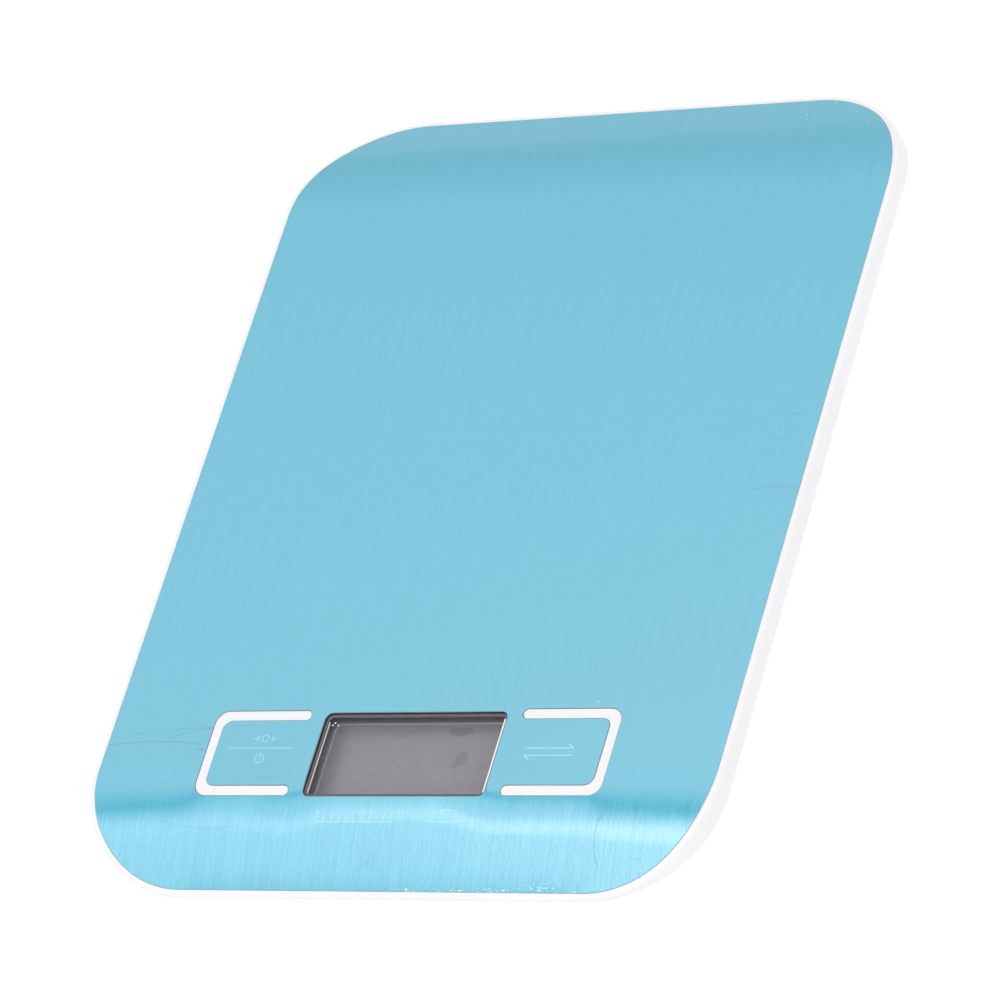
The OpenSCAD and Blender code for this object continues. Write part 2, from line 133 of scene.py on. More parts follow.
def densify(pts, step):
    out = []
    n = len(pts)
    for i in range(n):
        p, q = pts[i], pts[(i + 1) % n]
        d = math.dist(p, q)
        k = max(1, int(math.ceil(d / step - 1e-9)))
        for j in range(k):
            out.append((p[0] + (q[0] - p[0]) * j / k, p[1] + (q[1] - p[1]) * j / k))
    return out


def dedupe(pts, eps=1e-6):
    out = []
    for p in pts:
        if not out or math.dist(p, out[-1]) > eps:
            out.append(p)
    if math.dist(out[0], out[-1]) < eps:
        out.pop()
    return out


def rrect(w, d, r, cx=0.0, cy=0.0, n=24, step=1.5):
    """Counter-clockwise rounded rectangle."""
    x, y = w / 2 - r, d / 2 - r
    pts = (arc(cx + x, cy - y, r, -90, 0, n) + arc(cx + x, cy + y, r, 0, 90, n)
           + arc(cx - x, cy + y, r, 90, 180, n) + arc(cx - x, cy - y, r, 180, 270, n))
    return densify(dedupe(pts), step)


def u_slot(g=0.0, n=10):
    """Outline of the right key slot shrunk by g, counter-clockwise."""
    w = SLOT_W / 2 - g
    x0 = KEY_ROOT + SLOT_W / 2
    yo = KEY_D / 2 - g
    yi = KEY_D / 2 - SLOT_W + g
    yc = KEY_D / 2 - SLOT_W / 2
    xo, ro = KEY_OUT - g, 3.6 - g
    xi, ri = KEY_OUT - SLOT_W + g, KEY_R + g
    p = []
    p += arc(x0, -yc, w, 90, 270, n)
    p += arc(xo - ro, -yo + ro, ro, -90, 0, n)
    p += arc(xo - ro, yo - ro, ro, 0, 90, n)
    p += arc(x0, yc, w, 90, 270, n)
    p += arc(xi - ri, yi - ri, ri, 90, 0, n)
    p += arc(xi - ri, -yi + ri, ri, 0, -90, n)
    return [(x, y + KEY_Y) for x, y in densify(dedupe(p), 1.5)]


def key_hole(n=10):
    """Outline of the hole that a key and its slot leave, counter-clockwise. The straight side at KEY_ROOT is the seam."""
    w = SLOT_W / 2
    x0 = KEY_ROOT + w
    yo, yc = KEY_D / 2, KEY_D / 2 - w
    p = arc(x0, -yc, w, 180, 270, n)
    p += arc(KEY_OUT - 3.6, -yo + 3.6, 3.6, -90, 0, n)
    p += arc(KEY_OUT - 3.6, yo - 3.6, 3.6, 0, 90, n)
    p += arc(x0, yc, w, 90, 180, n)
    return [(x, y + KEY_Y) for x, y in densify(dedupe(p), 1.5)]


def key_leaf(n=10):
    """Outline of a key tongue, counter-clockwise."""
    w = SLOT_W / 2
    x0 = KEY_ROOT + w
    yc = KEY_D / 2 - w
    yi = KEY_D / 2 - SLOT_W
    xi, ri = KEY_OUT - SLOT_W, KEY_R
    p = arc(x0, -yc, w, 180, 90, n)
    p += arc(xi - ri, -yi + ri, ri, -90, 0, n)
    p += arc(xi - ri, yi - ri, ri, 0, 90, n)
    p += arc(x0, yc, w, 270, 180, n)
    return [(x, y + KEY_Y) for x, y in densify(dedupe(p), 1.5)]


def flip(pts):
    """Mirror in X, keeping the sense of turning."""
    return [(-x, y) for x, y in reversed(pts)]


def inside(p, poly):
    x, y = p
    hit = False
    n = len(poly)
    j = n - 1
    for i in range(n):
        xi, yi = poly[i]
        xj, yj = poly[j]
        if (yi > y) != (yj > y) and x < (xj - xi) * (y - yi) / (yj - yi) + xi:
            hit = not hit
        j = i
    return hit


def out_normals(loop):
    """Unit normals of a loop, pointing to the right of its direction."""
    n = len(loop)
    res = []
    for i in range(n):
        ax, ay = loop[i - 1]
        bx, by = loop[(i + 1) % n]
        px, py = loop[i]
        d1 = Vector((px - ax, py - ay)).normalized()
        d2 = Vector((bx - px, by - py)).normalized()
        t = d1 + d2
        if t.length < 1e-9:
            t = d1
        t.normalize()
        k = max(0.5, math.sqrt(max(0.0, (1 + d1.dot(d2)) / 2)))
        res.append((t.y, -t.x, 1 / k))
    return res


# ------------------------------------------------------------------ mesh building
def make_object(name, verts, faces, normals=None, mats=(), smooth=True, slots=None):
    me = bpy.data.meshes.new(name)
    me.from_pydata([(v[0] * MM, v[1] * MM, v[2] * MM) for v in verts], [], faces)
    me.validate(verbose=False)
    me.update()
    ob = bpy.data.objects.new(name, me)
    bpy.context.scene.collection.objects.link(ob)
    for m in mats:
        me.materials.append(m)
    if slots is not None and len(slots) == len(me.polygons):
        me.polygons.foreach_set("material_index", slots)
    if smooth:
        me.polygons.foreach_set("use_smooth", [True] * len(me.polygons))
    if normals is not None and len(normals) == len(me.vertices):
        me.normals_split_custom_set_from_vertices([tuple(n) for n in normals])
    uv = me.uv_layers.new(name="UVMap")
    co = np.array([v.co for v in me.vertices])
    idx = np.zeros(len(me.loops), int)
    me.loops.foreach_get("vertex_index", idx)
    flat = np.column_stack([co[idx, 0], co[idx, 1]]) / 0.25 + 0.5
    uv.data.foreach_set("uv", flat.astype(np.float32).ravel())
    return ob


def weld(verts, faces, normals, slots, eps=1e-5):
    """Merges vertices that coincide and drops faces that vanish."""
    key, remap, nv, nn = {}, [], [], []
    for v, n in zip(verts, normals):
        k = (round(v[0] / eps), round(v[1] / eps), round(v[2] / eps))
        if k not in key:
            key[k] = len(nv)
            nv.append(v)
            nn.append(Vector(n))
        else:
            nn[key[k]] = nn[key[k]] + Vector(n)
        remap.append(key[k])
    nf, ns = [], []
    for f, slot in zip(faces, slots):
        g = []
        for i in f:
            j = remap[i]
            if j not in g:
                g.append(j)
        if len(g) >= 3:
            nf.append(g)
            ns.append(slot)
    nn = [n.normalized() if n.length > 1e-9 else Vector((0, 0, 1)) for n in nn]
    return nv, nf, nn, ns


def slab(name, outer, holes, t0, t1, mats, edge=0.1, edge_low=0.05, seam=None, grid=4.0,
         fine=1.0, segs=3, zfun=None, nfun=None):
    """A sheet between the plate's face sunk by t0 and by t1, with a plan outline, holes and rounded edges.
    seam(x, y) is true for outline points where the sheet carries on in the next piece."""
    zf = zfun or top
    nf_ = nfun or level_normal
    loops = [list(outer)] + [list(reversed(h)) for h in holes]
    verts, normals, faces, slots = [], [], [], []
    side_slot = min(1, len(mats) - 1)
    ring_top, ring_bot = [], []
    for loop in loops:
        nrm = out_normals(loop)
        rings = []
        steps = [("t", math.pi / 2 * k / segs) for k in range(segs + 1)]
        steps += [("b", math.pi / 2 * k / segs) for k in range(segs + 1)]
        for kind, b in steps:
            ring = []
            for (x, y), (nx, ny, k) in zip(loop, nrm):
                e = edge if kind == "t" else edge_low
                if seam and seam(x, y):
                    e = 0.0
                up = nf_(x, y)
                if kind == "t":
                    off = -e * (1 - math.sin(b)) * k
                    dep = t0 + e * (1 - math.cos(b))
                    nv = up * math.cos(b) + Vector((nx, ny, 0)) * math.sin(b)
                    if e == 0.0:
                        nv = up
                else:
                    off = -e * (1 - math.cos(b)) * k
                    dep = t1 - e * (1 - math.sin(b))
                    nv = -up * math.sin(b) + Vector((nx, ny, 0)) * math.cos(b)
                    if e == 0.0:
                        nv = -up
                px, py = x + nx * off, y + ny * off
                ring.append(len(verts))
                verts.append((px, py, zf(px, py, dep)))
                normals.append(nv.normalized())
            rings.append(ring)
        n = len(loop)
        for k, (a, c) in enumerate(zip(rings, rings[1:])):
            for i in range(n):
                j = (i + 1) % n
                faces.append((a[i], c[i], c[j], a[j]))
                slots.append(side_slot if k >= segs - 1 else 0)
        ring_top.append(rings[0])
        ring_bot.append(rings[-1])
    # caps
    for rings, depth, up_side in ((ring_top, t0, True), (ring_bot, t1, False)):
        pts, edges, src, polys = [], [], [], []
        for r in rings:
            base = len(pts)
            for i in r:
                pts.append(Vector((verts[i][0], verts[i][1])))
                src.append(i)
            m = len(r)
            edges += [(base + i, base + (i + 1) % m) for i in range(m)]
            polys.append([(verts[i][0], verts[i][1]) for i in r])
        xs = [p.x for p in pts]
        ys = [p.y for p in pts]
        gx = np.arange(math.ceil(min(xs) / grid) * grid, max(xs), grid)
        gy = []
        y = math.ceil(min(ys))
        while y < max(ys):
            gy.append(float(y))
            y += fine if abs(y) >= 77 else min(grid, 3.0)
        border = np.array([(p.x, p.y) for p in pts])
        for gyv in gy:
            for gxv in gx:
                p = (gxv + 0.013, gyv + 0.007)
                if np.min((border[:, 0] - p[0]) ** 2 + (border[:, 1] - p[1]) ** 2) < 0.16:
                    continue
                if not inside(p, polys[0]) or any(inside(p, h) for h in polys[1:]):
                    continue
                pts.append(Vector(p))
                src.append(None)
        cv, _, cf, ov, _, _ = delaunay_2d_cdt(pts, edges, [], 0, 1e-7)
        idx = []
        for k, v in enumerate(cv):
            o = ov[k][0] if ov[k] else None
            if o is not None and src[o] is not None:
                idx.append(src[o])
            else:
                idx.append(len(verts))
                verts.append((v.x, v.y, zf(v.x, v.y, depth)))
                nn = nf_(v.x, v.y)
                normals.append(nn if up_side else -nn)
        for f in cf:
            c = (sum(cv[i].x for i in f) / len(f), sum(cv[i].y for i in f) / len(f))
            if not inside(c, polys[0]) or any(inside(c, h) for h in polys[1:]):
                continue
            g = [idx[i] for i in f]
            ax, ay = verts[g[0]][:2]
            bx, by = verts[g[1]][:2]
            cx, cy = verts[g[2]][:2]
            turn = (bx - ax) * (cy - ay) - (by - ay) * (cx - ax)
            if abs(turn) < 1e-12:
                continue
            if (turn > 0) != up_side:
                g.reverse()
            faces.append(tuple(g))
            slots.append(0)
    verts, faces, normals, slots = weld(verts, faces, normals, slots)
    return make_object(name, verts, faces, normals, mats, slots=slots)


def bar(x0, y0, x1, y1, w, n=5):
    """Outline of a straight stroke with round ends."""
    a = math.degrees(math.atan2(y1 - y0, x1 - x0))
    return dedupe(arc(x1, y1, w / 2, a - 90, a + 90, n) + arc(x0, y0, w / 2, a + 90, a + 270, n))


def arc_stroke(cx, cy, r, a0, a1, w, n=20):
    """Outline of a curved stroke with round ends."""
    e0 = (cx + r * math.cos(math.radians(a0)), cy + r * math.sin(math.radians(a0)))
    e1 = (cx + r * math.cos(math.radians(a1)), cy + r * math.sin(math.radians(a1)))
    return dedupe(arc(cx, cy, r + w / 2, a0, a1, n) + arc(*e1, w / 2, a1, a1 + 180, 5)
                  + arc(cx, cy, r - w / 2, a1, a0, n) + arc(*e0, w / 2, a0 + 180, a0 + 360, 5))


def strokes(name, outlines, mats, t0=0.003, t1=0.03):
    """Thin printed marks: each outline is a closed sheet whose lower side sits in the plate."""
    parts = [slab(f"{name}_{i}", densify(o, 0.7), [], t0 + 0.0008 * (i % 9), t1, mats, edge=0.004, edge_low=0.0, grid=50.0, segs=1, nfun=pressed_normal)
             for i, o in enumerate(outlines)]
    verts, faces, normals = [], [], []
    for ob in parts:
        k = len(verts)
        for v in ob.data.vertices:
            verts.append((v.co.x / MM, v.co.y / MM, v.co.z / MM))
            normals.append(pressed_normal(v.co.x / MM, v.co.y / MM))
        for f in ob.data.polygons:
            faces.append([k + i for i in f.vertices])
        me = ob.data
        bpy.data.objects.remove(ob)
        bpy.data.meshes.remove(me)
    return make_object(name, verts, faces, normals, mats)


def sweep_ring(name, outline, section, mats, angle=35):
    """A closed band: section(x, y) gives [(inset, z), ...] at each outline point, as a closed loop."""
    nrm = out_normals(outline)
    verts, faces = [], []
    n = len(outline)
    m = None
    for (x, y), (nx, ny, k) in zip(outline, nrm):
        sec = section(x, y)
        m = len(sec)
        for ins, z in sec:
            verts.append((x - nx * ins * k, y - ny * ins * k, z))
    for i in range(n):
        j = (i + 1) % n
        for s in range(m):
            t = (s + 1) % m
            faces.append((i * m + s, j * m + s, j * m + t, i * m + t))
    ob = make_object(name, verts, faces, None, mats)
    ob.data.set_sharp_from_angle(angle=math.radians(angle))
    recalc(ob)
    weighted(ob)
    return ob


def recalc(ob):
    bm = bmesh.new()
    bm.from_mesh(ob.data)
    bmesh.ops.recalc_face_normals(bm, faces=bm.faces)
    bm.to_mesh(ob.data)
    bm.free()


def weighted(ob):
    m = ob.modifiers.new("weighted", "WEIGHTED_NORMAL")
    m.keep_sharp = True
    m.weight = 80
    return ob


def soften(ob, width, angle=28, segs=2):
    """Rounds the edges of a carried-over piece without touching its mesh."""
    m = ob.modifiers.new("edges", "BEVEL")
    m.width = width * MM
    m.segments = segs
    m.limit_method = "ANGLE"
    m.angle_limit = math.radians(angle)
    m.harden_normals = False
    m.use_clamp_overlap = True
    w = ob.modifiers.new("weighted", "WEIGHTED_NORMAL")
    w.keep_sharp = True
    ob.data.polygons.foreach_set("use_smooth", [True] * len(ob.data.polygons))
    return ob


# ------------------------------------------------------------------ materials
def material(name):
    m = bpy.data.materials.new(name)
    m.use_nodes = True
    nt = m.node_tree
    for nd in list(nt.nodes):
        nt.nodes.remove(nd)
    out = nt.nodes.new("ShaderNodeOutputMaterial")
    bs = nt.nodes.new("ShaderNodeBsdfPrincipled")
    nt.links.new(bs.outputs[0], out.inputs[0])
    return m, nt, bs


def nd(nt, kind, **props):
    n = nt.nodes.new(kind)
    for k, v in props.items():
        if k in n.bl_rna.properties:
            setattr(n, k, v)
        else:
            n.inputs[k.replace("_", " ")].default_value = v
    return n


def coords(nt, scale=(1, 1, 1), rot=(0, 0, 0), loc=(0, 0, 0)):
    tc = nt.nodes.new("ShaderNodeTexCoord")
    mp = nt.nodes.new("ShaderNodeMapping")
    mp.inputs["Scale"].default_value = scale
    mp.inputs["Rotation"].default_value = rot
    mp.inputs["Location"].default_value = loc
    nt.links.new(tc.outputs["Object"], mp.inputs["Vector"])
    return mp.outputs[0]


def noise(nt, vec, scale=1.0, detail=2.0, rough=0.5, distortion=0.0):
    n = nt.nodes.new("ShaderNodeTexNoise")
    n.inputs["Scale"].default_value = scale
    n.inputs["Detail"].default_value = detail
    n.inputs["Roughness"].default_value = rough
    n.inputs["Distortion"].default_value = distortion
    nt.links.new(vec, n.inputs["Vector"])
    return n.outputs["Fac"]


def ramp(nt, fac, stops):
    r = nt.nodes.new("ShaderNodeValToRGB")
    el = r.color_ramp.elements
    while len(el) > 1:
        el.remove(el[-1])
    el[0].position = stops[0][0]
    el[0].color = stops[0][1] if len(stops[0][1]) == 4 else (*stops[0][1], 1)
    for p, c in stops[1:]:
        e = el.new(p)
        e.color = c if len(c) == 4 else (*c, 1)
    nt.links.new(fac, r.inputs[0])
    return r.outputs[0]


def remap(nt, fac, a, b, c, d, clamp=True):
    m = nt.nodes.new("ShaderNodeMapRange")
    m.clamp = clamp
    for k, v in zip(("From Min", "From Max", "To Min", "To Max"), (a, b, c, d)):
        m.inputs[k].default_value = v
    nt.links.new(fac, m.inputs[0])
    return m.outputs[0]


def mathn(nt, op, a, b=None, c=None):
    m = nt.nodes.new("ShaderNodeMath")
    m.operation = op
    for i, v in enumerate((a, b, c)):
        if v is None:
            continue
        if isinstance(v, (int, float)):
            m.inputs[i].default_value = v
        else:
            nt.links.new(v, m.inputs[i])
    return m.outputs[0]


def mix_rgb(nt, fac, a, b, blend="MIX"):
    m = nt.nodes.new("ShaderNodeMix")
    m.data_type = "RGBA"
    m.blend_type = blend
    ins = {i.identifier: i for i in m.inputs}
    for key, v in (("Factor_Float", fac), ("A_Color", a), ("B_Color", b)):
        s = ins[key]
        if isinstance(v, (int, float)):
            s.default_value = v
        elif isinstance(v, (tuple, list)):
            s.default_value = (*v, 1) if len(v) == 3 else v
        else:
            nt.links.new(v, s)
    return next(o for o in m.outputs if o.identifier == "Result_Color")


def bump(nt, height, strength, distance, normal=None):
    b = nt.nodes.new("ShaderNodeBump")
    b.inputs["Strength"].default_value = strength
    b.inputs["Distance"].default_value = distance
    nt.links.new(height, b.inputs["Height"])
    if normal is not None:
        nt.links.new(normal, b.inputs["Normal"])
    return b.outputs[0]


def srgb(r, g, b):
    def f(c):
        c = c / 255.0
        return c / 12.92 if c <= 0.04045 else ((c + 0.055) / 1.055) ** 2.4
    return (f(r), f(g), f(b))


def xyz_mm(nt):
    tc = nt.nodes.new("ShaderNodeTexCoord")
    sc = nt.nodes.new("ShaderNodeVectorMath")
    sc.operation = "SCALE"
    sc.inputs["Scale"].default_value = 1000.0
    nt.links.new(tc.outputs["Object"], sc.inputs[0])
    se = nt.nodes.new("ShaderNodeSeparateXYZ")
    nt.links.new(sc.outputs[0], se.inputs[0])
    return sc.outputs[0], se.outputs[0], se.outputs[1]


def between(nt, v, a, b, soft):
    """1 where v lies between a and b, falling to 0 over soft beyond them."""
    mid, half = (a + b) / 2, (b - a) / 2
    d = mathn(nt, "ABSOLUTE", mathn(nt, "SUBTRACT", v, mid))
    return remap(nt, d, half, half + soft, 1, 0)


def scratch(nt, along, across, pts, width, wob, depth=1.0, soft=1.5):
    """A fine curved line through pts, each (along, across)."""
    u = np.array([p[0] for p in pts], float)
    v = np.array([p[1] for p in pts], float)
    mid = u.mean()
    c = np.polyfit(u - mid, v, min(2, len(pts) - 1))
    c = np.concatenate([np.zeros(3 - len(c)), c])
    x = mathn(nt, "SUBTRACT", along, float(mid))
    f = mathn(nt, "MULTIPLY_ADD", mathn(nt, "MULTIPLY_ADD", x, float(c[0]), float(c[1])), x, float(c[2]))
    d = mathn(nt, "ABSOLUTE", mathn(nt, "SUBTRACT", mathn(nt, "ADD", across, wob), f))
    line = remap(nt, d, 0.0, width, depth, 0)
    return mathn(nt, "MULTIPLY", line, between(nt, along, float(u.min()), float(u.max()), soft))


def brushed_blue():
    m, nt, bs = material("brushed_blue_steel")
    # fine grain along Y: three widths of streak
    a = noise(nt, coords(nt, (5000, 90, 40)), 1.0, 3.0, 0.6)
    b = noise(nt, coords(nt, (1700, 14, 9), loc=(3, 7, 1)), 1.0, 3.0, 0.55)
    c = noise(nt, coords(nt, (3500, 460, 90), loc=(1, 2, 5)), 1.0, 2.0, 0.5)
    cloud = noise(nt, coords(nt, (28, 20, 20), loc=(4, 4, 4)), 1.0, 2.0, 0.5)
    s1 = mathn(nt, "MULTIPLY_ADD", a, 0.5, mathn(nt, "MULTIPLY", b, 0.5))
    streak = mathn(nt, "MULTIPLY_ADD", c, 0.4, mathn(nt, "MULTIPLY", s1, 0.6))
    _, x, y = xyz_mm(nt)
    # grain contrast is raised towards the front bend, and most at x 15 to 45 there: painted reflection streaks laid
    # over the real grain
    grain_and_sheen_gain = remap(nt, y, -89.0, -96.0, 1.3, 4.8)
    grain_and_sheen_gain = mathn(nt, "MULTIPLY", grain_and_sheen_gain, remap(nt, mathn(nt, "MULTIPLY", remap(nt, x, 15.0, 45.0, 0, 1), remap(nt, y, -90.0, -95.0, 0, 1)), 0, 1, 1.0, 1.9))
    grain = mathn(nt, "MULTIPLY_ADD", mathn(nt, "SUBTRACT", streak, 0.5), grain_and_sheen_gain, 0.5)
    base = ramp(nt, grain, [(0.10, (0.058, 0.420, 0.588)), (0.50, (0.083, 0.478, 0.647)), (0.90, (0.111, 0.534, 0.703))])
    base = mix_rgb(nt, remap(nt, cloud, 0.3, 0.7, 0.0, 0.25), base, (0.086, 0.478, 0.640))
    # wear: hairline scratches, specks, a chipped front edge
    wob = remap(nt, noise(nt, coords(nt, (500, 500, 500)), 1.0, 2.0, 0.5), 0.3, 0.7, -0.10, 0.10)
    marks = [
        scratch(nt, x, y, [(-87.9, -76.1), (-76.0, -75.3), (-61.4, -75.8)], 0.20, wob, 0.85),
        scratch(nt, x, y, [(-81.3, -73.2), (-70.0, -71.9), (-63.6, -71.6), (-47.6, -70.9)], 0.17, wob, 0.55, 3.0),
        scratch(nt, x, y, [(-70.0, -74.1), (-65.6, -72.7), (-58.8, -71.5)], 0.20, wob, 0.75, 2.0),
        scratch(nt, x, y, [(-64.2, -97.3), (-58.3, -98.3), (-52.7, -98.8), (-44.5, -98.3)], 0.18, wob, 0.6, 3.0),
        scratch(nt, x, y, [(-48.5, -85.2), (-34.5, -85.3)], 0.16, wob, 0.35, 1.5),
        scratch(nt, x, y, [(-47.5, -86.1), (-36.0, -86.2)], 0.16, wob, 0.30, 1.5),
        scratch(nt, y, x, [(-96.0, 59.5), (-98.9, 59.3), (-102.0, 58.9), (-104.5, 59.2), (-106.7, 60.5)], 0.27, wob, 1.0, 1.2),
        scratch(nt, x, y, [(69.9, -105.7), (71.6, -105.4), (73.9, -103.8)], 0.20, wob, 0.7, 0.8),
        scratch(nt, y, x, [(84.4, 82.8), (90.0, 82.4)], 0.16, wob, 0.6, 0.8),
        scratch(nt, x, y, [(82.4, 90.0), (84.5, 91.1)], 0.16, wob, 0.5, 0.5),
        scratch(nt, y, x, [(-95.5, 27.9), (-97.7, 29.3)], 0.17, wob, 0.55, 0.5),
        scratch(nt, x, y, [(65.7, 13.3), (69.0, 13.9), (72.7, 14.4), (76.6, 15.2), (79.7, 15.5), (83.3, 15.2)], 0.18, wob, 0.40, 2.5),
        scratch(nt, x, y, [(73.1, -7.1), (76.3, -6.2), (78.4, -5.7), (82.4, -5.5), (85.9, -5.6), (88.4, -5.9)], 0.20, wob, 0.60, 1.5),
        scratch(nt, x, y, [(77.0, 7.8), (83.3, 8.2), (87.2, 8.0)], 0.16, wob, 0.22, 1.5),
    ]
    dark = marks[0]
    for k in marks[1:]:
        dark = mathn(nt, "MAXIMUM", dark, k)
    specks = noise(nt, coords(nt, (1900, 1900, 1900), loc=(9, 2, 2)), 1.0, 1.0, 0.5)
    zone = mathn(nt, "MULTIPLY", between(nt, x, -4.6, -2.6, 1.6), between(nt, y, -107.6, -105.4, 1.8))
    speck = mathn(nt, "MULTIPLY", remap(nt, specks, 0.57, 0.66, 0, 0.8), zone)
    rub = mathn(nt, "MULTIPLY", between(nt, x, -63.0, -59.5, 1.5), between(nt, y, -79.4, -77.6, 0.8))
    rubs = noise(nt, coords(nt, (260, 2400, 200), loc=(2, 2, 9), rot=(0, 0, 0.25)), 1.0, 2.0, 0.6)
    speck = mathn(nt, "MAXIMUM", speck, mathn(nt, "MULTIPLY", rub, remap(nt, rubs, 0.54, 0.64, 0, 0.5)))
    dark = mathn(nt, "MAXIMUM", dark, speck)
    chips = noise(nt, coords(nt, (620, 1500, 600), loc=(7, 1, 3)), 1.0, 2.0, 0.6)
    front = mathn(nt, "MULTIPLY", between(nt, x, 8.0, 56.0, 8.0), remap(nt, y, -112.9, -112.2, 1, 0))
    corner = mathn(nt, "MULTIPLY", between(nt, x, 43.0, 51.0, 3.0), remap(nt, y, -112.6, -110.6, 1, 0))
    chip = mathn(nt, "MULTIPLY", remap(nt, chips, 0.572, 0.625, 0, 1), mathn(nt, "MAXIMUM", front, corner))
    light = chip
    for fx, fy, fr in ((56.7, 108.0, 0.35), (76.1, 103.1, 0.3), (-16.0, 80.6, 0.25), (50.4, -65.0, 0.35), (63.4, 112.3, 0.5)):
        dx, dy = mathn(nt, "SUBTRACT", x, fx), mathn(nt, "SUBTRACT", y, fy)
        rr = mathn(nt, "MULTIPLY_ADD", dx, dx, mathn(nt, "MULTIPLY", dy, dy))
        light = mathn(nt, "MAXIMUM", light, remap(nt, rr, 0.0, fr * fr, 0.7, 0))
    base = mix_rgb(nt, mathn(nt, "MULTIPLY", dark, 0.70), base, (0.03, 0.16, 0.22))
    base = mix_rgb(nt, mathn(nt, "MULTIPLY", light, 0.65), base, (0.62, 0.84, 0.93))
    nt.links.new(base, bs.inputs["Base Color"])
    bs.inputs["Metallic"].default_value = 0.4
    nt.links.new(remap(nt, streak, 0.3, 0.7, 0.50, 0.58), bs.inputs["Roughness"])
    bs.inputs["Anisotropic"].default_value = 0.7
    tan = nt.nodes.new("ShaderNodeTangent")
    tan.direction_type = "UV_MAP"
    tan.uv_map = "UVMap"
    nt.links.new(tan.outputs[0], bs.inputs["Tangent"])
    bs.inputs["Coat Weight"].default_value = 1.0
    bs.inputs["Coat Roughness"].default_value = 0.10
    bs.inputs["Coat IOR"].default_value = 2.0
    h = bump(nt, streak, 0.30, 0.00002)
    h = bump(nt, mathn(nt, "MULTIPLY", dark, -1.0), 0.5, 0.00003, h)
    nt.links.new(h, bs.inputs["Normal"])
    ch = bump(nt, mathn(nt, "MULTIPLY_ADD", c, 0.6, mathn(nt, "MULTIPLY", a, 0.4)), 0.65, 0.00002)
    nt.links.new(ch, bs.inputs["Coat Normal"])
    return m


def white_plastic(name="white_abs", tint=(0.905, 0.905, 0.905), rough=0.32, grain=0.06):
    m, nt, bs = material(name)
    big = noise(nt, coords(nt, (35, 35, 35)), 1.0, 2.0, 0.5)
    fine = noise(nt, coords(nt, (4200, 4200, 4200)), 1.0, 2.0, 0.5)
    t2 = tuple(c * 0.972 for c in tint)
    nt.links.new(mix_rgb(nt, remap(nt, big, 0.3, 0.7, 0, 1), tint, t2), bs.inputs["Base Color"])
    nt.links.new(remap(nt, fine, 0.3, 0.7, rough - 0.05, rough + 0.06), bs.inputs["Roughness"])
    bs.inputs["IOR"].default_value = 1.5
    nt.links.new(bump(nt, fine, grain, 0.00005), bs.inputs["Normal"])
    return m


def dark_bezel():
    m, nt, bs = material("bezel_satin")
    fine = noise(nt, coords(nt, (3000, 3000, 3000)), 1.0, 2.0, 0.5)
    base = mix_rgb(nt, fine, (0.105, 0.103, 0.114), (0.140, 0.138, 0.150))
    _, x, y = xyz_mm(nt)
    # painted light: the left wall of the recess is mixed lighter; painted shade: the rear wall is mixed near black
    base = mix_rgb(nt, remap(nt, x, -25.0, -22.0, 0.10, 0), base, (0.235, 0.230, 0.250))
    base = mix_rgb(nt, remap(nt, y, -69.5, -68.0, 0, 1.0), base, (0.026, 0.024, 0.028))
    nt.links.new(base, bs.inputs["Base Color"])
    nt.links.new(remap(nt, fine, 0.3, 0.7, 0.24, 0.36), bs.inputs["Roughness"])
    nt.links.new(bump(nt, fine, 0.05, 0.00005), bs.inputs["Normal"])
    return m


def clear_lens():
    m, nt, bs = material("lens_acrylic")
    haze = noise(nt, coords(nt, (120, 160, 120)), 1.0, 3.0, 0.6)
    bs.inputs["Base Color"].default_value = (0.985, 0.985, 0.99, 1)
    bs.inputs["Transmission Weight"].default_value = 1.0
    bs.inputs["IOR"].default_value = 1.40
    nt.links.new(remap(nt, haze, 0.35, 0.75, 0.0, 0.035), bs.inputs["Roughness"])
    return m


def lcd_face():
    m, nt, bs = material("lcd_grey")
    cloud = noise(nt, coords(nt, (70, 90, 70)), 1.0, 3.0, 0.55)
    fine = noise(nt, coords(nt, (2500, 2500, 2500)), 1.0, 2.0, 0.6)
    edge = noise(nt, coords(nt, (300, 300, 300)), 1.0, 1.0, 0.5)
    base = mix_rgb(nt, remap(nt, cloud, 0.3, 0.7, 0, 1), (0.303, 0.282, 0.314), (0.288, 0.273, 0.302))
    base = mix_rgb(nt, remap(nt, fine, 0.3, 0.7, 0.0, 0.09), base, (0.37, 0.355, 0.38))
    _, x, y = xyz_mm(nt)
    wx = mathn(nt, "ADD", x, remap(nt, edge, 0.3, 0.7, -0.6, 0.6))
    wy = mathn(nt, "ADD", y, remap(nt, edge, 0.3, 0.7, 0.5, -0.5))

    def patch(cx, cy, rx, ry, tilt):
        ex = mathn(nt, "DIVIDE", mathn(nt, "MULTIPLY_ADD", wy, tilt, mathn(nt, "SUBTRACT", wx, cx + cy * tilt)), rx)
        ey = mathn(nt, "DIVIDE", mathn(nt, "SUBTRACT", wy, cy), ry)
        r2 = mathn(nt, "MULTIPLY_ADD", ex, ex, mathn(nt, "MULTIPLY", ey, ey))
        return remap(nt, r2, 0.88, 1.12, 1, 0)

    stain_and_shade = mathn(nt, "MAXIMUM", patch(10.6, -69.6, 3.4, 1.5, 0.0), patch(12.2, -77.6, 1.6, 2.2, -0.5))
    # two real stains, plus a darkening towards the right side of the face that is painted shade
    stain_and_shade = mathn(nt, "MAXIMUM", stain_and_shade, remap(nt, mathn(nt, "MULTIPLY_ADD", wy, 0.12, wx), 5.2, 11.5, 0, 0.45))
    base = mix_rgb(nt, mathn(nt, "MULTIPLY", stain_and_shade, 0.50), base, (0.14, 0.13, 0.15))
    nt.links.new(base, bs.inputs["Base Color"])
    nt.links.new(remap(nt, cloud, 0.3, 0.7, 0.22, 0.34), bs.inputs["Roughness"])
    nt.links.new(bump(nt, fine, 0.03, 0.00003), bs.inputs["Normal"])
    return m


